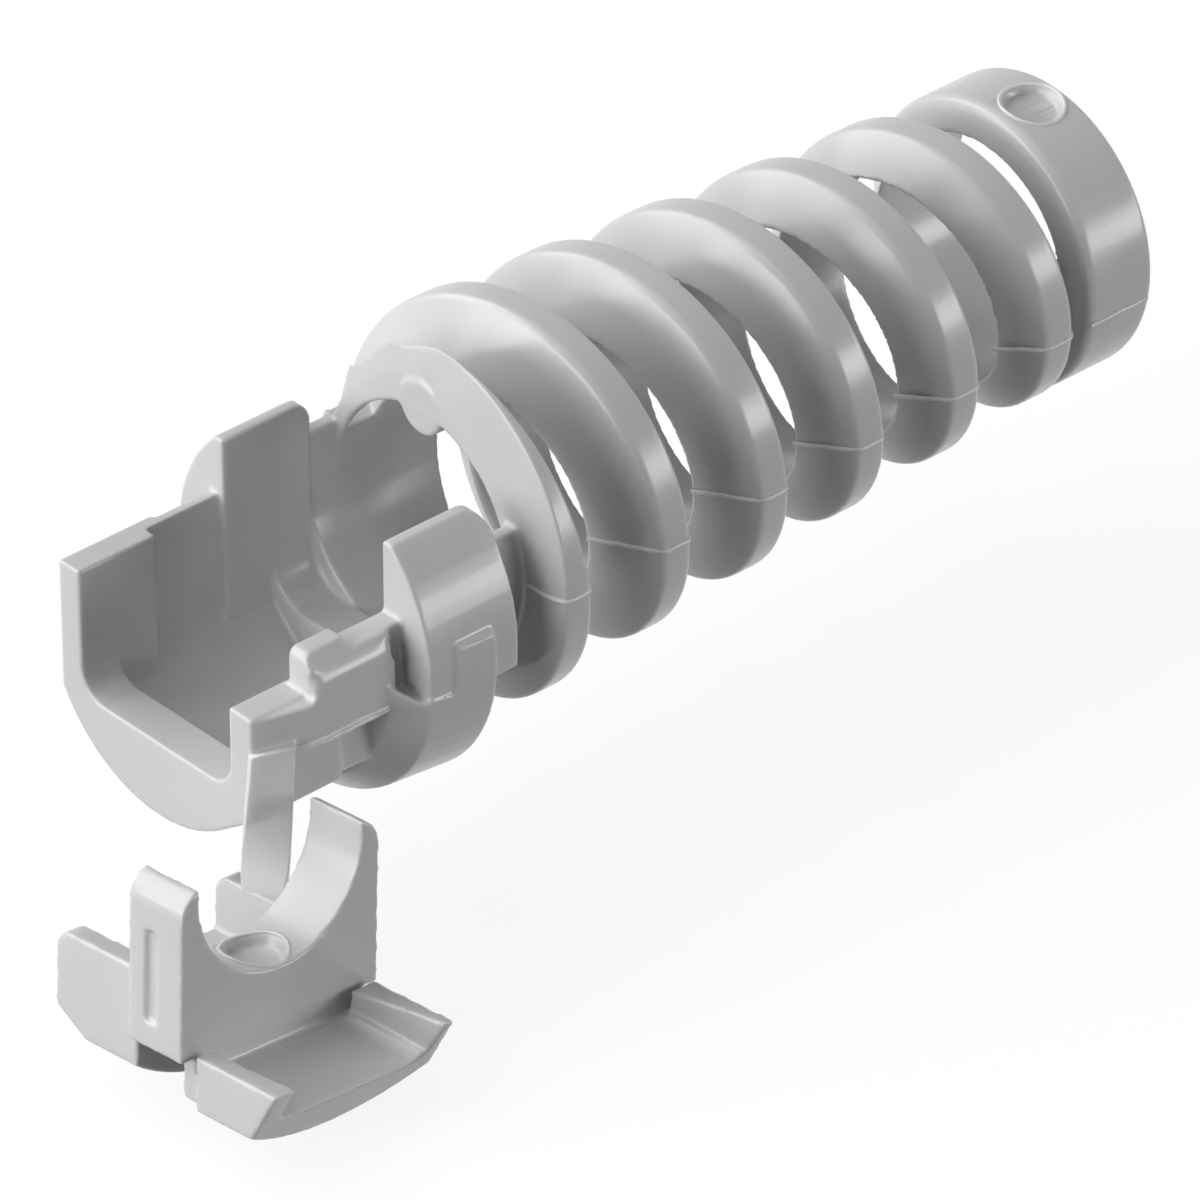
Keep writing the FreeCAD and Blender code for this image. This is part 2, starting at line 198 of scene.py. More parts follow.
def dress(piece: bpy.types.Object, finish: bpy.types.Material) -> bpy.types.Object:
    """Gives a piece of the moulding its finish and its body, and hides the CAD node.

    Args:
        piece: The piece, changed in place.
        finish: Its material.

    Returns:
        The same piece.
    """
    piece.data.materials.clear()
    piece.data.materials.append(finish)
    piece.data.shade_smooth()
    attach(piece, BODY)
    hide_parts(NODE)
    return piece


def bridge(
    work: bmesh.types.BMesh, pairs: list[tuple[list[bmesh.types.BMVert], list[bmesh.types.BMVert]]]
) -> None:
    """Joins pairs of loops by rows of four-sided faces.

    Args:
        work: The geometry that the loops are in, changed in place.
        pairs: The loops, each pair with as many corners.
    """
    for here, there in pairs:
        for corner in range(len(here)):
            work.faces.new((here[corner - 1], here[corner], there[corner], there[corner - 1]))


def new_tree(name: str, values: dict[str, object], takes_mesh: bool) -> bpy.types.NodeTree:
    """Opens a Geometry Nodes tree with an input for each value.

    Args:
        name: The tree's name.
        values: What the inputs will be given, by their names.
        takes_mesh: Whether the tree works on the piece's own mesh.

    Returns:
        The tree, which has no nodes yet.
    """
    tree = bpy.data.node_groups.new(name, "GeometryNodeTree")
    face = tree.interface
    if takes_mesh:
        face.new_socket("Geometry", in_out="INPUT", socket_type="NodeSocketGeometry")
    face.new_socket("Geometry", in_out="OUTPUT", socket_type="NodeSocketGeometry")
    kinds = {float: "NodeSocketFloat", int: "NodeSocketInt", bpy.types.Material: "NodeSocketMaterial"}
    for label, value in values.items():
        face.new_socket(label, in_out="INPUT", socket_type=kinds[type(value)])
    return tree


def grow(piece: bpy.types.Object, tree: bpy.types.NodeTree, values: dict[str, object]) -> None:
    """Runs a Geometry Nodes tree on a piece and leaves it with a plain mesh.

    Args:
        piece: The piece, changed in place.
        tree: The tree.
        values: What its inputs are given, by their names.
    """
    modifier = piece.modifiers.new(tree.name, "NODES")
    modifier.node_group = tree
    for item in tree.interface.items_tree:
        if item.in_out == "INPUT" and item.name in values:
            modifier[item.identifier] = values[item.name]
    plain_mesh(piece)


class Fields:
    """Writes sums on fields as nodes of a Geometry Nodes tree."""

    def __init__(self, tree: bpy.types.NodeTree) -> None:
        """Keeps the tree that the nodes go into."""
        self.tree = tree

    def put(self, kind: str, **settings: object) -> bpy.types.Node:
        """Adds a node.

        Args:
            kind: The node's type.
            settings: Properties of the node, by name.

        Returns:
            The node.
        """
        node = self.tree.nodes.new(kind)
        for name, value in settings.items():
            setattr(node, name, value)
        return node

    def plug(self, value: object, socket: bpy.types.NodeSocket) -> None:
        """Gives a socket a value or a link.

        Args:
            value: A number, a material or another node's socket.
            socket: The socket that takes it.
        """
        if isinstance(value, bpy.types.NodeSocket):
            self.tree.links.new(value, socket)
        else:
            socket.default_value = value

    def math(self, operation: str, *values: object) -> bpy.types.NodeSocket:
        """Adds a Math node.

        Args:
            operation: The operation's name.
            values: Numbers or sockets.

        Returns:
            The result's socket.
        """
        node = self.put("ShaderNodeMath", operation=operation)
        for value, socket in zip(values, node.inputs):
            self.plug(value, socket)
        return node.outputs[0]

    def finish(self, geometry: bpy.types.NodeSocket, material: bpy.types.NodeSocket) -> None:
        """Ends the tree: real geometry that has its material.

        Args:
            geometry: The socket that gives the geometry.
            material: The socket that gives the material.
        """
        real = self.put("GeometryNodeRealizeInstances")
        self.plug(geometry, real.inputs[0])
        dressed = self.put("GeometryNodeSetMaterial")
        self.plug(real.outputs[0], dressed.inputs["Geometry"])
        self.plug(material, dressed.inputs["Material"])
        self.plug(dressed.outputs[0], self.put("NodeGroupOutput").inputs[0])


@dataclass
class TaperedCoil:
    """The coil: one helical rib whose section is a soft uneven trapezoid, wound on a tapering sleeve.

    The section's corners are numbered 0 and 1 at the root, 2 and 3 at the rear and the front of the land.
    The two limits between those numbers are past_root and past_rear. The shares place the points of the
    parting line on the front flank, on the land and on the rear flank.
    """

    front_x: float = 6.05 * MM
    face_x: float = 5.85 * MM
    face_slope: float = 0.112
    front_radius: float = 7.92 * MM
    collar_radius: float = 6.23 * MM
    bore_radius: float = 4.79 * MM
    pitch: float = 5.3 * MM
    land: float = 1.37 * MM
    front_run: float = 1.6 * MM
    front_run_loss: float = 0.3 * MM
    rear_run: float = 1.04 * MM
    rear_x: float = 38.25 * MM
    first_turn: float = -0.49
    last_turn: float = 5.72
    collar_turns: float = 5.2
    mean_height: float = 2.3 * MM
    root_corner: float = 0.05 * MM
    rear_corner: float = 0.2 * MM
    front_corner: float = 0.28 * MM
    steps_per_turn: int = 110
    steps_round: int = 84
    corner_count: int = 6
    past_root: float = 1.5
    past_rear: float = 2.5
    line_front_shares: tuple[float, ...] = (0.95, 0.65, 0.35, 0.14)
    line_land_shares: tuple[float, ...] = (0.1, 0.5, 0.92)
    line_rear_shares: tuple[float, ...] = (0.12, 0.4)

    @property
    def collar_x(self) -> float:
        """Where the sleeve ends and the collar begins."""
        return self.front_x + self.land + self.pitch * self.collar_turns

    def values(self, finish: bpy.types.Material) -> dict[str, object]:
        """Lists what the tree's inputs are given.

        Args:
            finish: The material that the tree sets.

        Returns:
            The values, by the inputs' names.
        """
        names = (
            "front_x", "face_x", "face_slope", "front_radius", "collar_x", "collar_radius", "bore_radius",
            "pitch", "land", "front_run", "front_run_loss", "rear_run", "rear_x", "first_turn", "last_turn",
            "mean_height", "root_corner", "rear_corner", "front_corner", "steps_round",
        )
        values = {name: getattr(self, name) for name in names}
        values["steps_along"] = round((self.last_turn - self.first_turn) * self.steps_per_turn)
        values["finish"] = finish
        return values

    def tree(self, values: dict[str, object]) -> bpy.types.NodeTree:
        """Builds the tree that winds the rib's section along the helix.

        Args:
            values: What its inputs will be given, by their names.

        Returns:
            The Geometry Nodes tree.
        """
        tree = new_tree("coil_rib", values, takes_mesh=False)
        given = tree.nodes.new("NodeGroupInput").outputs
        graph = Fields(tree)

        half_land = graph.math("MULTIPLY", given["land"], 0.5)
        front_root = graph.math("MULTIPLY", graph.math("ADD", half_land, given["front_run"]), -1.0)
        corners = (
            (front_root, 0.0),
            (graph.math("ADD", half_land, given["rear_run"]), 0.0),
            (half_land, given["mean_height"]),
            (graph.math("MULTIPLY", half_land, -1.0), given["mean_height"]),
        )
        section = graph.put("GeometryNodeCurvePrimitiveQuadrilateral", mode="POINTS")
        for number, (across, up) in enumerate(corners, start=1):
            corner = graph.put("ShaderNodeCombineXYZ")
            graph.plug(across, corner.inputs["X"])
            graph.plug(up, corner.inputs["Y"])
            graph.plug(corner.outputs[0], section.inputs[f"Point {number}"])
        soft = graph.put("GeometryNodeFilletCurve", mode="POLY")
        graph.plug(section.outputs["Curve"], soft.inputs["Curve"])
        index = graph.put("GeometryNodeInputIndex").outputs[0]
        rear_more = graph.math("SUBTRACT", given["rear_corner"], given["root_corner"])
        front_more = graph.math("SUBTRACT", given["front_corner"], given["rear_corner"])
        past_root = graph.math("GREATER_THAN", index, self.past_root)
        past_rear = graph.math("GREATER_THAN", index, self.past_rear)
        land_size = graph.math("MULTIPLY_ADD", past_root, rear_more, given["root_corner"])
        corner_size = graph.math("MULTIPLY_ADD", past_rear, front_more, land_size)
        graph.plug(corner_size, soft.inputs["Radius"])
        soft.inputs["Count"].default_value = self.corner_count

        grid = graph.put("GeometryNodeMeshGrid")
        graph.plug(1.0, grid.inputs["Size X"])
        graph.plug(1.0, grid.inputs["Size Y"])
        graph.plug(given["steps_along"], grid.inputs["Vertices X"])
        graph.plug(given["steps_round"], grid.inputs["Vertices Y"])
        place = graph.put("ShaderNodeSeparateXYZ")
        graph.plug(graph.put("GeometryNodeInputPosition").outputs[0], place.inputs[0])
        # The grid is one unit wide and centred, so half a unit more gives shares from 0 to 1.
        along = graph.math("ADD", place.outputs["X"], 0.5)
        round_section = graph.math("ADD", place.outputs["Y"], 0.5)
        sample = graph.put("GeometryNodeSampleCurve", mode="FACTOR")
        graph.plug(soft.outputs["Curve"], sample.inputs["Curves"])
        graph.plug(round_section, sample.inputs["Factor"])
        spot = graph.put("ShaderNodeSeparateXYZ")
        graph.plug(sample.outputs["Position"], spot.inputs[0])

        turns = graph.math("SUBTRACT", given["last_turn"], given["first_turn"])
        turn = graph.math("MULTIPLY_ADD", along, turns, given["first_turn"])
        land_start = graph.math("MULTIPLY_ADD", turn, given["pitch"], given["front_x"])
        middle = graph.math("ADD", land_start, half_land)
        length = graph.math("SUBTRACT", given["collar_x"], given["front_x"])
        share = graph.math("DIVIDE", graph.math("SUBTRACT", middle, given["front_x"]), length)
        drop = graph.math("SUBTRACT", given["collar_radius"], given["front_radius"])
        outer = graph.math("MULTIPLY_ADD", share, drop, given["front_radius"])
        height = graph.math("SUBTRACT", outer, given["bore_radius"])
        fraction = graph.math("DIVIDE", spot.outputs["Y"], given["mean_height"])
        radius = graph.math("MULTIPLY_ADD", fraction, height, given["bore_radius"])
        forward = graph.math("DIVIDE", spot.outputs["X"], graph.math("MULTIPLY", half_land, -1.0))
        on_front = graph.math("MINIMUM", graph.math("MAXIMUM", forward, 0.0), 1.0)
        depth = graph.math("SUBTRACT", 1.0, fraction)
        loss = graph.math("MULTIPLY", graph.math("MULTIPLY", given["front_run_loss"], share), depth)
        across_rib = graph.math("MULTIPLY_ADD", loss, on_front, spot.outputs["X"])
        rise = graph.math("SUBTRACT", radius, given["bore_radius"])
        face_here = graph.math("MULTIPLY_ADD", rise, given["face_slope"], given["face_x"])
        behind_face = graph.math("MAXIMUM", graph.math("ADD", middle, across_rib), face_here)
        x = graph.math("MINIMUM", behind_face, given["rear_x"])
        angle = graph.math("MULTIPLY", turn, 2 * math.pi)
        y = graph.math("MULTIPLY", graph.math("MULTIPLY", graph.math("COSINE", angle), radius), -1.0)
        z = graph.math("MULTIPLY", graph.math("MULTIPLY", graph.math("SINE", angle), radius), -1.0)
        wound = graph.put("ShaderNodeCombineXYZ")
        for name, value in (("X", x), ("Y", y), ("Z", z)):
            graph.plug(value, wound.inputs[name])

        move = graph.put("GeometryNodeSetPosition")
        graph.plug(grid.outputs["Mesh"], move.inputs["Geometry"])
        graph.plug(wound.outputs[0], move.inputs["Position"])
        close = graph.put("GeometryNodeMergeByDistance")
        graph.plug(move.outputs[0], close.inputs["Geometry"])
        close.inputs["Distance"].default_value = WELD
        graph.finish(close.outputs[0], given["finish"])
        return tree

    def build(self, finish: bpy.types.Material) -> bpy.types.Object:
        """Winds the rib and closes its two ends.

        Args:
            finish: The material that the tree sets.

        Returns:
            The closed rib.
        """
        values = self.values(finish)
        piece = new_piece("coil_rib", bmesh.new())
        grow(piece, self.tree(values), values)
        work = bmesh.new()
        work.from_mesh(piece.data)
        bmesh.ops.dissolve_degenerate(work, edges=work.edges, dist=TINY_EDGE)
        bmesh.ops.holes_fill(work, edges=work.edges, sides=0)
        bmesh.ops.triangulate(work, faces=[face for face in work.faces if len(face.verts) > 4])
        bmesh.ops.recalc_face_normals(work, faces=work.faces)
        work.to_mesh(piece.data)
        work.free()
        return piece

    def radius_at(self, x: float) -> float:
        """Gives the radius of the sleeve's outside.

        Args:
            x: The place along the axis.

        Returns:
            The radius there.
        """
        share = (x - self.front_x) / (self.collar_x - self.front_x)
        return self.front_radius + (self.collar_radius - self.front_radius) * share

    def parting_line(self, turn: int, angle: float) -> list[Vector]:
        """Follows the mould's parting line over one turn of the rib.

        Args:
            turn: Which turn, from 0 at the front ring.
            angle: How far below -Y the line lies, in radians.

        Returns:
            Its points, from the front flank over the land to the rear flank.
        """
        front = self.front_x + self.pitch * (turn + angle / (2 * math.pi))
        outer = self.radius_at(front + self.land / 2)
        height = outer - self.bore_radius
        level = -outer * math.sin(angle)
        rear = front + self.land
        places = [(front - self.front_run * down, outer - height * down) for down in self.line_front_shares]
        places += [(front + self.land * along, outer) for along in self.line_land_shares]
        places += [(rear + self.rear_run * down, outer - height * down) for down in self.line_rear_shares]
        return [Vector((x, -math.sqrt(radius**2 - level**2), level)) for x, radius in places]


def swept_round(
    section: Callable[[float], list[tuple[float, float]]], first_turn: float, last_turn: float, steps: int
) -> bmesh.types.BMesh:
    """Carries a section round the cable's axis.

    Args:
        section: Gives the corners at a turn, each as a place along X and a radius.
        first_turn: Where the section starts, in turns from -Y over the bottom.
        last_turn: Where it ends; a whole turn further makes a closed ring.
        steps: How many stations there are between the two.

    Returns:
        The closed solid.
    """
    work = bmesh.new()
    whole = abs(last_turn - first_turn - 1.0) < TURN_SLACK
    loops = []
    for step in range(steps if whole else steps + 1):
        turn = first_turn + (last_turn - first_turn) * step / steps
        angle = 2 * math.pi * turn
        loops.append([
            work.verts.new((x, -radius * math.cos(angle), -radius * math.sin(angle)))
            for x, radius in section(turn)
        ])
    pairs = list(zip(loops, loops[1:]))
    if whole:
        pairs.append((loops[-1], loops[0]))
    else:
        work.faces.new(loops[0])
        work.faces.new(loops[-1])
    bridge(work, pairs)
    bmesh.ops.recalc_face_normals(work, faces=work.faces)
    return work


@dataclass(frozen=True)
class EjectorMark:
    """A shallow round recess that an ejector pin left, with a raised rim. All lengths are in millimetres."""

    centre: tuple[float, float, float]
    out: tuple[float, float, float]
    along: tuple[float, float, float]
    bend_radius: float
    radius: float = 1.25
    wall: float = 0.25
    depth: float = 0.4
    reach: float = 0.7
    rim_gap: float = 0.05
    rim_steps: int = 48

    def press(self, mesh: bpy.types.Mesh) -> None:
        """Presses the recess into a skin.

        Args:
            mesh: The skin in metres, changed in place.
        """
        out = Vector(self.out)
        centre = Vector(self.centre) * MM
        for vertex in mesh.vertices:
            place = vertex.co - centre
            height = place.dot(out)
            if abs(height) > self.reach * MM:
                continue
            away = (place - out * height).length / MM
            inside = min(max((self.radius - away) / self.wall, 0.0), 1.0)
            vertex.co -= out * self.depth * MM * inside * inside * (3 - 2 * inside)

    def rim(self) -> list[Vector]:
        """Follows the recess's edge on the bent face it is in.

        Returns:
            Its points, the last in the first's place.
        """
        out = Vector(self.out)
        along = Vector(self.along)
        side = out.cross(along)
        size = self.radius + self.rim_gap
        points = []
        for step in range(self.rim_steps + 1):
            bend = 2 * math.pi * step / self.rim_steps
            across = size * math.sin(bend)
            level = math.sqrt(self.bend_radius**2 - across**2)
            sag = self.bend_radius - math.copysign(level, self.bend_radius)
            spot = Vector(self.centre) + along * size * math.cos(bend) + side * across + out * sag
            points.append(spot * MM)
        return points


@dataclass
class FilmStrap:
    """The film strap from the rail to the wedge: one plain twisted band.

    The fields that begin with solid, and the three after them, find the CAD solid's own strap.
    """

    top: tuple[float, float, float] = (-6.6 * MM, -5.86 * MM, -1.85 * MM)
    bottom: tuple[float, float, float] = (-6.65 * MM, -5.25 * MM, -8.894 * MM)
    top_width: float = 1.8 * MM
    bottom_width: float = 1.85 * MM
    top_angle: float = math.radians(-18.0)
    bottom_angle: float = math.radians(-80.0)
    thickness: float = 0.38 * MM
    corner: float = 0.09 * MM
    steps: int = 48
    corner_steps: int = 4
    twist_power: float = 2.0
    solid_top: tuple[float, float, float] = (-6.455 * MM, -5.8 * MM, -1.85 * MM)
    solid_bottom: tuple[float, float, float] = (-6.527 * MM, -5.164 * MM, -8.894 * MM)
    solid_widths: tuple[float, float] = (1.75 * MM, 2.1 * MM)
    reach: float = 1.3 * MM
    tolerance: float = 0.003 * MM
    least_cosine: float = 0.98

    def is_near(self, point: Vector) -> bool:
        """Tells whether a point is near the solid's strap.

        Args:
            point: The point, in the frame.

        Returns:
            Whether it is.
        """
        top = Vector(self.solid_top)
        axis = Vector(self.solid_bottom) - top
        share = (point - top).dot(axis) / axis.length_squared
        return 0 < share < 1 and (point - top - axis * share).length < self.reach

    def solid_planes(self) -> list[tuple[Vector, Vector]]:
        """Lists the planes of the facets that the strap has in the solid.

        Returns:
            A point and a normal of each plane.
        """
        ends = []
        places = (self.solid_top, self.solid_bottom)
        for place, width, angle in zip(places, self.solid_widths, (self.top_angle, self.bottom_angle)):
            turn = Matrix.Rotation(angle, 3, "Z")
            right, up = width / 2, self.thickness / 2
            corners = ((-right, -up, 0.0), (right, -up, 0.0), (right, up, 0.0), (-right, up, 0.0))
            ends.append([Vector(place) + turn @ Vector(corner) for corner in corners])
        upper, lower = ends
        planes = []
        for corner in range(len(upper)):
            start = upper[corner - 1]
            for first, second in ((upper[corner], lower[corner]), (lower[corner], lower[corner - 1])):
                planes.append((start, (first - start).cross(second - start).normalized()))
        return planes

    def section(self, share: float) -> list[Vector]:
        """Corners of the band's rounded section.

        Args:
            share: How far down the band, from 0 to 1.

        Returns:
            Its points, in the frame.
        """
        centre = Vector(self.top).lerp(Vector(self.bottom), share)
        angle = self.top_angle + (self.bottom_angle - self.top_angle) * share**self.twist_power
        half_width = (self.top_width + (self.bottom_width - self.top_width) * share) / 2
        half_thickness = self.thickness / 2
        turn = Matrix.Rotation(angle, 3, "Z")
        points = []
        for quarter, (right, up) in enumerate(((1, 1), (-1, 1), (-1, -1), (1, -1))):
            for step in range(self.corner_steps + 1):
                bend = math.pi / 2 * (quarter + step / self.corner_steps)
                across = right * (half_width - self.corner) + self.corner * math.cos(bend)
                through = up * (half_thickness - self.corner) + self.corner * math.sin(bend)
                points.append(centre + turn @ Vector((across, through, 0.0)))
        return points

    def build(self, finish: bpy.types.Material) -> bpy.types.Object:
        """Lofts the band.

        Args:
            finish: The thin nylon, paler than the body: painted light shining through the film.

        Returns:
            The finished band.
        """
        work = bmesh.new()
        loops = []
        for step in range(self.steps + 1):
            loops.append([work.verts.new(point) for point in self.section(step / self.steps)])
        bridge(work, list(zip(loops, loops[1:])))
        work.faces.new(loops[0])
        work.faces.new(loops[-1])
        bmesh.ops.recalc_face_normals(work, faces=work.faces)
        return dress(new_piece("film_strap", work), finish)


@dataclass
class MouldedBushing:
    """The whole moulding: head and wedge from the solid, coil, skirt and collar, fused with soft edges.

    The skirt is the wall between the front ring and the first turn. The voxel sizes, the soft edge and its
    reach are in millimetres, the other lengths in metres.
    """

    coil: TaperedCoil
    collar_length: float = 3.51 * MM
    collar_lean: float = 0.2 * MM
    collar_front_edge: float = 0.4 * MM
    collar_edge: float = 0.25 * MM
    skirt_radius: float = 5.95 * MM
    skirt_first_turn: float = 0.1
    skirt_last_turn: float = 0.56
    skirt_overlap: float = 0.5 * MM
    skirt_steps: int = 90
    collar_steps: int = 160
    cut_back: float = 0.01 * MM
    root: float = 0.35 * MM
    voxel: float = 0.09
    quick_voxel: float = 0.22
    smoothing: int = 6
    smoothing_factor: float = 0.5
    most_triangles: int = 190000
    lug_radius: float = 1.15 * MM
    lug_length: float = 0.82 * MM
    lug_steps: int = 40
    lug_centre: tuple[float, float, float] = (6.29 * MM, 0.05 * MM, 4.92 * MM)
    soft_edge: tuple[tuple[float, float, float], ...] = ((-4.4, -6.15, 0.15), (-0.3, -6.15, 0.15))
    soft_reach: float = 0.55
    soft_rounds: int = 60
    marks: tuple[EjectorMark, ...] = (
        EjectorMark((36.88, -0.867, 6.169), (0.0, -0.1392, 0.9903), (1.0, 0.0, 0.0), -6.23),
        EjectorMark((-10.241, -8.931, -7.577), (0.1091, 0.0847, 0.9904), (-0.0461, 0.9957, -0.08), 4.07),
    )

    def without_strap(self, work: bmesh.types.BMesh, strap: FilmStrap) -> None:
        """Takes the strap off the solid's copy, because it is a piece of its own.

        Args:
            work: The copy, changed in place.
            strap: The strap that replaces it.
        """
        planes = strap.solid_planes()
        gone = []
        for face in work.faces:
            if not strap.is_near(face.calc_center_median()):
                continue
            for point, normal in planes:
                away = max(abs((vertex.co - point).dot(normal)) for vertex in face.verts)
                if away < strap.tolerance and abs(face.normal.dot(normal)) > strap.least_cosine:
                    gone.append(face)
                    break
        bmesh.ops.delete(work, geom=gone, context="FACES")
        rims = [edge for edge in work.edges if edge.is_boundary]
        bmesh.ops.holes_fill(work, edges=rims, sides=0)
        open_edges = sum(1 for edge in work.edges if not edge.is_manifold)
        counts = (len(gone), len(rims), open_edges)
        log.info("strap taken off: %d faces, %d rim edges, %d edges left open", *counts)

    def lug(self) -> bmesh.types.BMesh:
        """Makes the round lug that stands on the front ring over the bore.

        Returns:
            The closed lug.
        """
        work = bmesh.new()
        place = Matrix.Translation(Vector(self.lug_centre)) @ Matrix.Rotation(math.pi / 2, 4, "Y")
        bmesh.ops.create_cone(
            work, cap_ends=True, segments=self.lug_steps, radius1=self.lug_radius, radius2=self.lug_radius,
            depth=self.lug_length, matrix=place,
        )
        return work

    def soften(self, mesh: bpy.types.Mesh) -> None:
        """Melts the outer edge of the rail's block, which is barely there on the moulding.

        Args:
            mesh: The fused skin in metres, changed in place.
        """
        start, end = (Vector(point) * MM for point in self.soft_edge)
        axis = end - start
        work = bmesh.new()
        work.from_mesh(mesh)
        near = []
        for vertex in work.verts:
            share = min(max((vertex.co - start).dot(axis) / axis.length_squared, 0.0), 1.0)
            if (vertex.co - start - axis * share).length < self.soft_reach * MM:
                near.append(vertex)
        for _ in range(self.soft_rounds):
            bmesh.ops.smooth_vert(
                work, verts=near, factor=self.smoothing_factor,
                use_axis_x=True, use_axis_y=True, use_axis_z=True,
            )
        work.to_mesh(mesh)
        work.free()

    def head_and_wedge(self, strap: FilmStrap) -> bmesh.types.BMesh:
        """Copies the solid up to the coil's front ring, with a root that reaches into the ring.

        Args:
            strap: The strap, which is left off the copy.

        Returns:
            The closed copy.
        """
        work = merged(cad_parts[NODE].data, WELD)
        self.without_strap(work, strap)
        everything = work.verts[:] + work.edges[:] + work.faces[:]
        plane = (self.coil.face_x - self.cut_back, 0.0, 0.0)
        cut = bmesh.ops.bisect_plane(
            work, geom=everything, dist=FINE_WELD, plane_co=plane, plane_no=(1.0, 0.0, 0.0), clear_outer=True
        )
        rim = [item for item in cut["geom_cut"] if isinstance(item, bmesh.types.BMEdge)]
        cap = bmesh.ops.holes_fill(work, edges=rim, sides=0)["faces"]
        grown = bmesh.ops.extrude_face_region(work, geom=cap)
        tips = [item for item in grown["geom"] if isinstance(item, bmesh.types.BMVert)]
        bmesh.ops.translate(work, verts=tips, vec=(self.root, 0.0, 0.0))
        bmesh.ops.delete(work, geom=cap, context="FACES_ONLY")
        bmesh.ops.triangulate(work, faces=[face for face in work.faces if len(face.verts) > 4])
        return work

    def skirt_section(self, turn: float) -> list[tuple[float, float]]:
        """Corners of the wall between the ring and the first turn.

        Args:
            turn: The place round the axis.

        Returns:
            Its four corners, each as a place along X and a radius.
        """
        front = self.coil.face_x
        rear = self.coil.front_x + self.coil.pitch * turn - self.skirt_overlap * (1.0 - turn)
        inner = self.coil.bore_radius
        return [(front, inner), (rear, inner), (rear, self.skirt_radius), (front, self.skirt_radius)]

    def collar_section(self, turn: float) -> list[tuple[float, float]]:
        """Corners of the collar, the same all round.

        Args:
            turn: The place round the axis, which changes nothing.

        Returns:
            Its corners, each as a place along X and a radius.
        """
        front = self.coil.collar_x
        rear = front + self.collar_length
        edge = self.collar_edge
        front_edge = self.collar_front_edge
        inner = self.coil.bore_radius
        outer = self.coil.collar_radius
        return [
            (front - self.collar_lean, inner),
            (rear, inner),
            (rear, outer - edge),
            (rear - edge / 3, outer - edge / 3),
            (rear - edge, outer),
            (front + front_edge, outer),
            (front + front_edge / 3, outer - front_edge / 4),
            (front, outer - front_edge),
        ]

    def build(self, finish: bpy.types.Material, strap: FilmStrap) -> bpy.types.Object:
        """Fuses the parts into one skin and softens its edges.

        Args:
            finish: The nylon.
            strap: The strap, which is left off.

        Returns:
            The finished moulding.
        """
        rib = self.coil.build(finish)
        parts = [
            self.head_and_wedge(strap),
            self.lug(),
            swept_round(self.skirt_section, self.skirt_first_turn, self.skirt_last_turn, self.skirt_steps),
            swept_round(self.collar_section, 0.0, 1.0, self.collar_steps),
            merged(rib.data, FINE_WELD),
        ]
        bpy.data.objects.remove(rib)
        joined = bmesh.new()
        for part in parts:
            mesh = bpy.data.meshes.new("part")
            part.to_mesh(mesh)
            part.free()
            joined.from_mesh(mesh)
            bpy.data.meshes.remove(mesh)
        bmesh.ops.scale(joined, verts=joined.verts, vec=(1 / MM, 1 / MM, 1 / MM))
        piece = new_piece("moulded_bushing", joined)
        skin = piece.modifiers.new("skin", "REMESH")
        skin.mode = "VOXEL"
        skin.voxel_size = self.voxel
        soft = piece.modifiers.new("soft_edges", "SMOOTH")
        soft.factor = self.smoothing_factor
        soft.iterations = self.smoothing
        plain_mesh(piece)
        piece.data.transform(Matrix.Scale(MM, 4))
        for mark in self.marks:
            mark.press(piece.data)
        self.soften(piece.data)
        triangles = sum(len(face.vertices) - 2 for face in piece.data.polygons)
        log.info("fused skin: %d triangles", triangles)
        if triangles > self.most_triangles:
            thin = piece.modifiers.new("fewer", "DECIMATE")
            thin.ratio = self.most_triangles / triangles
            plain_mesh(piece)
        return dress(piece, finish)


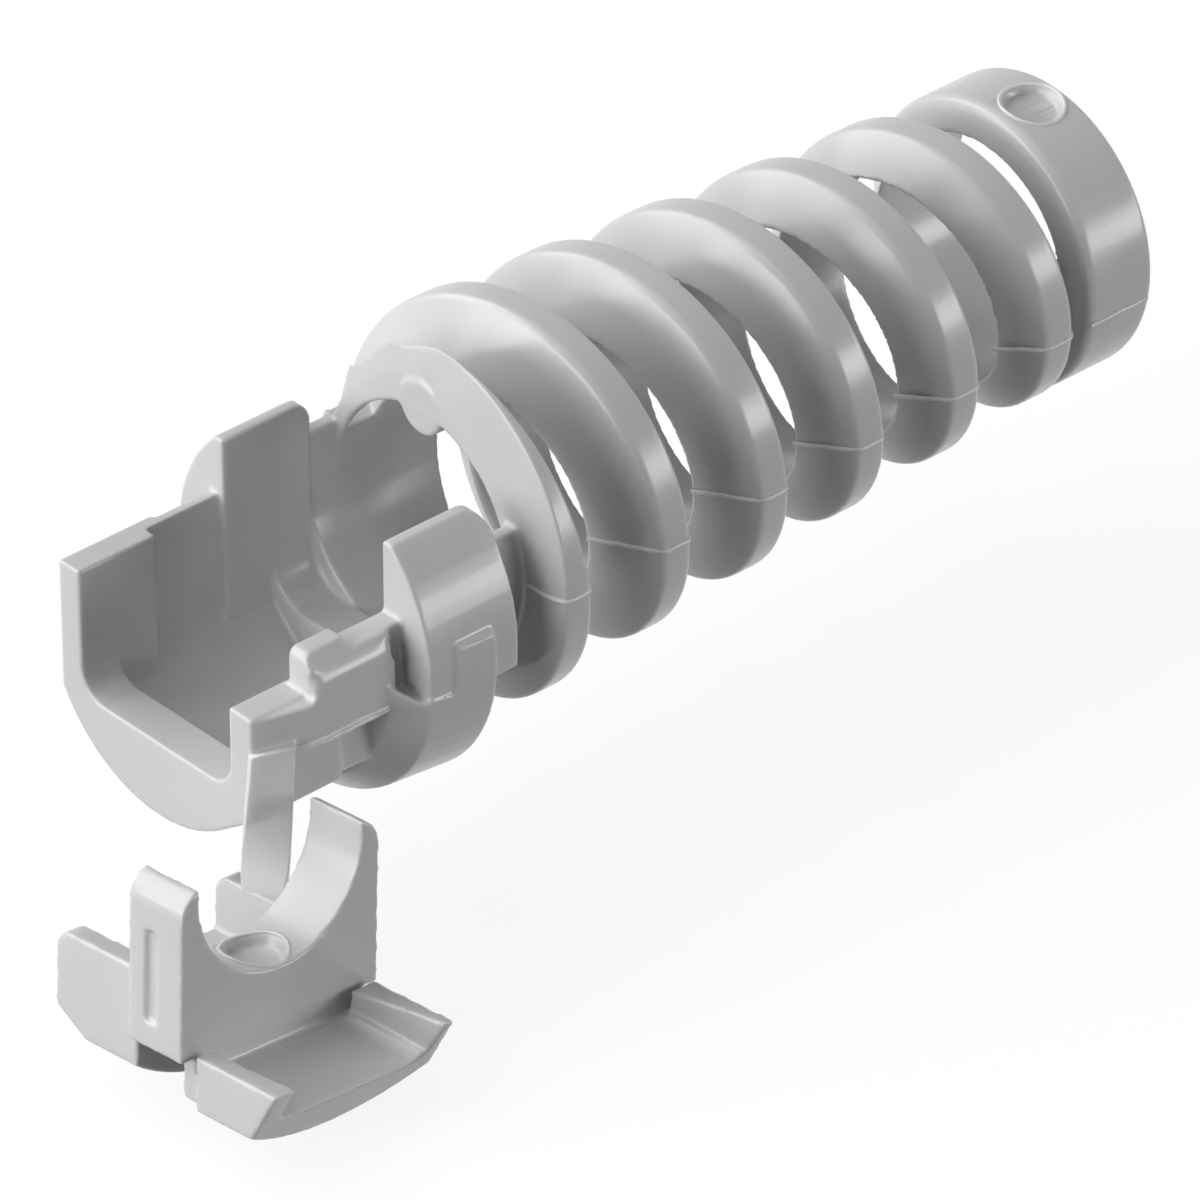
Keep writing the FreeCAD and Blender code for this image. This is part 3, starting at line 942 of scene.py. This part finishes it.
@dataclass
class MouldFlash:
    """Thin raised lines where the mould's halves and pins met, laid along paths by Geometry Nodes.

    The places along the ring, the collar and the rail are in millimetres.
    """

    coil: TaperedCoil
    ring_spots: tuple[tuple[float, float], ...] = (
        (-4.86, -0.85), (-5.2, -0.5), (-6.04, -0.1), (-6.6, -0.2), (-7.3, -0.15), (-7.75, -0.08)
    )
    ring_land_xs: tuple[float, ...] = (6.35, 6.9, 7.4)
    ring_land_z: float = -0.05
    ring_end: tuple[float, float, float] = (7.75, -7.2, -0.05)
    collar_xs: tuple[float, ...] = (35.15, 36.0, 36.9, 37.7, 38.2)
    rail_spots: tuple[tuple[float, float, float], ...] = (
        (-7.25, -5.56, 0.0), (-6.0, -5.86, 0.0), (-4.9, -6.1, 0.08),
        (-3.3, -6.1, 0.16), (-1.85, -6.1, 0.16), (-0.35, -6.1, 0.06),
    )
    rail_z: float = -2.2
    first_angle: float = math.radians(0.3)
    angle_step: float = math.radians(1.62)
    turns: int = 5
    step: float = 0.12 * MM
    grain: float = 1400.0
    line_sides: int = 8

    def parting_paths(self) -> list[list[Vector]]:
        """Lists the parting lines of the ring, the turns and the collar.

        Returns:
            One list of points for each line.
        """
        coil = self.coil
        ring = [
            (coil.face_x + coil.face_slope * (math.hypot(y, z) * MM - coil.bore_radius), y * MM, z * MM)
            for y, z in self.ring_spots
        ]
        ring += [(x * MM, -coil.radius_at(x * MM), self.ring_land_z * MM) for x in self.ring_land_xs]
        ring.append([part * MM for part in self.ring_end])
        paths = [[Vector(point) for point in ring]]
        for turn in range(1, self.turns + 1):
            paths.append(coil.parting_line(turn, self.first_angle + self.angle_step * turn))
        angle = self.first_angle + self.angle_step * self.turns
        side = Vector((0.0, -math.cos(angle), -math.sin(angle))) * coil.collar_radius
        paths.append([side + Vector((x * MM, 0.0, 0.0)) for x in self.collar_xs])
        return paths

    def rail_paths(self) -> list[list[Vector]]:
        """Lists the rough flash under the latch rail.

        Returns:
            Its upper and lower row of points.
        """
        upper = [Vector((x * MM, y * MM, self.rail_z * MM)) for x, y, _ in self.rail_spots]
        lower = [Vector((x * MM, y * MM, (self.rail_z - drop) * MM)) for x, y, drop in self.rail_spots]
        return [upper, lower]

    def values(self, kind: Flash, finish: bpy.types.Material) -> dict[str, object]:
        """Lists what the tree's inputs are given for one kind of flash.

        Args:
            kind: The kind.
            finish: The material that the tree sets.

        Returns:
            The values, by the inputs' names.
        """
        return {
            "half_thickness": kind.half_thickness,
            "wander": kind.wander,
            "step": self.step,
            "grain": self.grain,
            "finish": finish,
        }

    def tree(self, values: dict[str, object]) -> bpy.types.NodeTree:
        """Builds the tree that turns paths into thin wandering lines.

        Args:
            values: What its inputs will be given, by their names.

        Returns:
            The Geometry Nodes tree.
        """
        tree = new_tree("mould_flash", values, takes_mesh=True)
        given = tree.nodes.new("NodeGroupInput").outputs
        graph = Fields(tree)
        path = graph.put("GeometryNodeMeshToCurve")
        graph.plug(given["Geometry"], path.inputs["Mesh"])
        even = graph.put("GeometryNodeResampleCurve", mode="LENGTH")
        graph.plug(path.outputs[0], even.inputs["Curve"])
        graph.plug(given["step"], even.inputs["Length"])
        noise = graph.put("ShaderNodeTexNoise")
        graph.plug(given["grain"], noise.inputs["Scale"])
        centred = graph.put("ShaderNodeVectorMath", operation="SUBTRACT")
        graph.plug(noise.outputs["Color"], centred.inputs[0])
        centred.inputs[1].default_value = (0.5, 0.5, 0.5)
        amount = graph.put("ShaderNodeVectorMath", operation="SCALE")
        graph.plug(centred.outputs[0], amount.inputs[0])
        graph.plug(graph.math("MULTIPLY", given["wander"], 2.0), amount.inputs["Scale"])
        move = graph.put("GeometryNodeSetPosition")
        graph.plug(even.outputs[0], move.inputs["Geometry"])
        graph.plug(amount.outputs[0], move.inputs["Offset"])
        profile = graph.put("GeometryNodeCurvePrimitiveCircle", mode="RADIUS")
        profile.inputs["Resolution"].default_value = self.line_sides
        graph.plug(given["half_thickness"], profile.inputs["Radius"])
        tube = graph.put("GeometryNodeCurveToMesh")
        graph.plug(move.outputs[0], tube.inputs["Curve"])
        graph.plug(profile.outputs[0], tube.inputs["Profile Curve"])
        tube.inputs["Fill Caps"].default_value = True
        graph.finish(tube.outputs[0], given["finish"])
        return tree

    def lay(
        self, kind: Flash, paths: list[list[Vector]], tree: bpy.types.NodeTree, finish: bpy.types.Material
    ) -> bpy.types.Object:
        """Lays the lines of one kind.

        Args:
            kind: The kind.
            paths: The points of its lines.
            tree: The tree that turns paths into lines.
            finish: The flash's nylon, paler than the body: a painted highlight along the lines.

        Returns:
            The finished piece.
        """
        work = bmesh.new()
        for points in paths:
            spots = [work.verts.new(point) for point in points]
            for here, there in zip(spots, spots[1:]):
                work.edges.new((here, there))
        piece = new_piece(f"{kind.name.lower()}_flash", work)
        grow(piece, tree, self.values(kind, finish))
        tubes = bmesh.new()
        tubes.from_mesh(piece.data)
        bmesh.ops.recalc_face_normals(tubes, faces=tubes.faces)
        tubes.to_mesh(piece.data)
        tubes.free()
        return dress(piece, finish)

    def build(self, finish: bpy.types.Material, marks: tuple[EjectorMark, ...]) -> list[bpy.types.Object]:
        """Lays every line.

        Args:
            finish: The flash's nylon, paler than the body: a painted highlight along the lines.
            marks: The ejector marks that get a rim.

        Returns:
            One piece for each kind of flash.
        """
        tree = self.tree(self.values(Flash.PARTING, finish))
        kinds = {
            Flash.PARTING: self.parting_paths(),
            Flash.EJECTOR: [mark.rim() for mark in marks],
            Flash.RAIL: self.rail_paths(),
        }
        return [self.lay(kind, paths, tree, finish) for kind, paths in kinds.items()]


@dataclass(frozen=True)
class Softbox:
    """One lamp: its place and the size of its face in metres, and its power in watts."""

    name: str
    place: tuple[float, float, float]
    width: float
    height: float
    power: float

    def hang(self, target: Vector) -> None:
        """Hangs the lamp so that it faces a point.

        Args:
            target: The point.
        """
        data = bpy.data.lights.new(self.name, "AREA")
        data.shape = "RECTANGLE"
        data.size = self.width
        data.size_y = self.height
        data.energy = self.power
        lamp = bpy.data.objects.new(self.name, data)
        lamp.location = self.place
        lamp.rotation_mode = "QUATERNION"
        lamp.rotation_quaternion = (target - Vector(self.place)).to_track_quat("-Z", "Y")
        bpy.context.scene.collection.objects.link(lamp)


@dataclass
class Studio:
    """Camera at the photograph's angle, plain pale floor and soft lamps."""

    camera_place: tuple[float, float, float] = (-0.216174, -0.255917, 0.222991)
    camera_right: tuple[float, float, float] = (0.7421, -0.6703, 0.0)
    camera_back: tuple[float, float, float] = (-0.557055, -0.616773, 0.556130)
    lens: float = 322.57
    sensor: float = 36.0
    floor_drop: float = 0.4 * MM
    floor_size: float = 3.0
    floor_glow: float = 0.88
    floor_shade: float = 0.16
    floor_bounce: float = 0.06
    ambient: float = 0.015
    clip: tuple[float, float] = (0.01, 20.0)
    aim: tuple[float, float, float] = (0.012, -0.003, -0.002)
    softboxes: tuple[Softbox, ...] = (
        Softbox("key_softbox", (-0.24, 0.28, 0.30), 0.60, 0.42, 2.25),
        Softbox("left_softbox", (-0.50, 0.02, 0.08), 0.40, 0.30, 1.75),
        Softbox("left_rear_softbox", (-0.42, 0.24, 0.02), 0.17, 0.22, 0.42),
        Softbox("top_softbox", (0.02, 0.06, 0.45), 0.40, 0.40, 0.45),
        Softbox("right_fill", (0.34, -0.40, 0.03), 0.40, 0.20, 1.75),
    )

    def camera(self) -> None:
        """Sets the camera where the photograph's perspective puts it."""
        data = bpy.data.cameras.new("camera")
        data.lens = self.lens
        data.sensor_width = self.sensor
        data.clip_start, data.clip_end = self.clip
        camera = bpy.data.objects.new("camera", data)
        back = Vector(self.camera_back).normalized()
        right = Vector(self.camera_right).normalized()
        up = back.cross(right)
        turn = Matrix((right, up, back)).transposed().to_4x4()
        camera.matrix_world = Matrix.Translation(Vector(self.camera_place)) @ turn
        bpy.context.scene.collection.objects.link(camera)
        bpy.context.scene.camera = camera

    def floor(self, low_z: float) -> None:
        """Lays a pale floor under the lowest point, which keeps the object's soft shadow.

        What the camera and reflections see of it is nearly white. What it gives back to the object is dark.

        Args:
            low_z: The height of that point, in metres.
        """
        work = bmesh.new()
        bmesh.ops.create_grid(work, x_segments=1, y_segments=1, size=self.floor_size)
        bmesh.ops.translate(work, verts=work.verts, vec=(0, 0, low_z - self.floor_drop))
        floor = new_piece("floor", work)
        material = bpy.data.materials.new("floor_paint")
        material.use_nodes = True
        nodes = material.node_tree.nodes
        links = material.node_tree.links
        nodes.remove(nodes["Principled BSDF"])
        seen = self.seen_directly(material.node_tree)
        level = nodes.new("ShaderNodeMix")
        level.data_type = "FLOAT"
        level.inputs["A"].default_value = self.floor_bounce
        level.inputs["B"].default_value = self.floor_shade
        links.new(seen, level.inputs["Factor"])
        shade = nodes.new("ShaderNodeBsdfDiffuse")
        links.new(level.outputs["Result"], shade.inputs["Color"])
        strength = nodes.new("ShaderNodeMath")
        strength.operation = "MULTIPLY"
        strength.inputs[1].default_value = self.floor_glow
        links.new(seen, strength.inputs[0])
        glow = nodes.new("ShaderNodeEmission")
        links.new(strength.outputs[0], glow.inputs["Strength"])
        both = nodes.new("ShaderNodeAddShader")
        links.new(shade.outputs[0], both.inputs[0])
        links.new(glow.outputs[0], both.inputs[1])
        links.new(both.outputs[0], nodes["Material Output"].inputs["Surface"])
        floor.data.materials.append(material)

    def seen_directly(self, tree: bpy.types.NodeTree) -> bpy.types.NodeSocket:
        """Adds nodes that tell what the camera, a reflection or a clear body sees.

        Args:
            tree: The node tree of a material or of the world.

        Returns:
            A socket that is 1 for such rays and 0 for the rest.
        """
        path = tree.nodes.new("ShaderNodeLightPath")
        total = path.outputs["Is Camera Ray"]
        for name in ("Is Glossy Ray", "Is Transmission Ray"):
            most = tree.nodes.new("ShaderNodeMath")
            most.operation = "MAXIMUM"
            tree.links.new(total, most.inputs[0])
            tree.links.new(path.outputs[name], most.inputs[1])
            total = most.outputs[0]
        return total

    def world(self) -> None:
        """Shows white to the camera, and lights the rest with a soft even grey."""
        world = bpy.data.worlds.new("studio")
        bpy.context.scene.world = world
        world.use_nodes = True
        nodes = world.node_tree.nodes
        links = world.node_tree.links
        background = nodes["Background"]
        mix = nodes.new("ShaderNodeMix")
        mix.data_type = "FLOAT"
        mix.inputs["A"].default_value = self.ambient
        mix.inputs["B"].default_value = 1.0
        background.inputs["Color"].default_value = (1.0, 1.0, 1.0, 1.0)
        links.new(self.seen_directly(world.node_tree), mix.inputs["Factor"])
        links.new(mix.outputs["Result"], background.inputs["Strength"])

    def build(self) -> None:
        """Sets up the whole studio."""
        self.camera()
        self.floor(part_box(NODE)[0][2])
        self.world()
        for softbox in self.softboxes:
            softbox.hang(Vector(self.aim))
        bpy.context.scene.view_settings.view_transform = "Standard"


def main() -> None:
    """Builds the studio and the bushing."""
    Studio().build()
    finish = NylonFinish().material()
    # The strap's nylon is paler than the body: painted light standing in for light shining through the thin
    # film.
    film = NylonFinish(
        name="thin_nylon_painted_light", colour=(0.95, 0.95, 0.94), subsurface=0.2, roughness_low=0.3, roughness_high=0.4,
        see_through=0.3,
    )
    # The flash's nylon is paler than the body: a painted highlight along the thin raised lines.
    flash_painted_highlight = NylonFinish(name="flash_nylon_painted_highlight", colour=(0.74, 0.74, 0.73))
    coil = TaperedCoil()
    strap = FilmStrap()
    bushing = MouldedBushing(coil=coil)
    pieces = [bushing.build(finish, strap), strap.build(film.material())]
    pieces += MouldFlash(coil=coil).build(flash_painted_highlight.material(), bushing.marks)
    for piece in pieces:
        log.info("%s: %d faces", piece.name, len(piece.data.polygons))


if __name__ == "__main__":
    main()
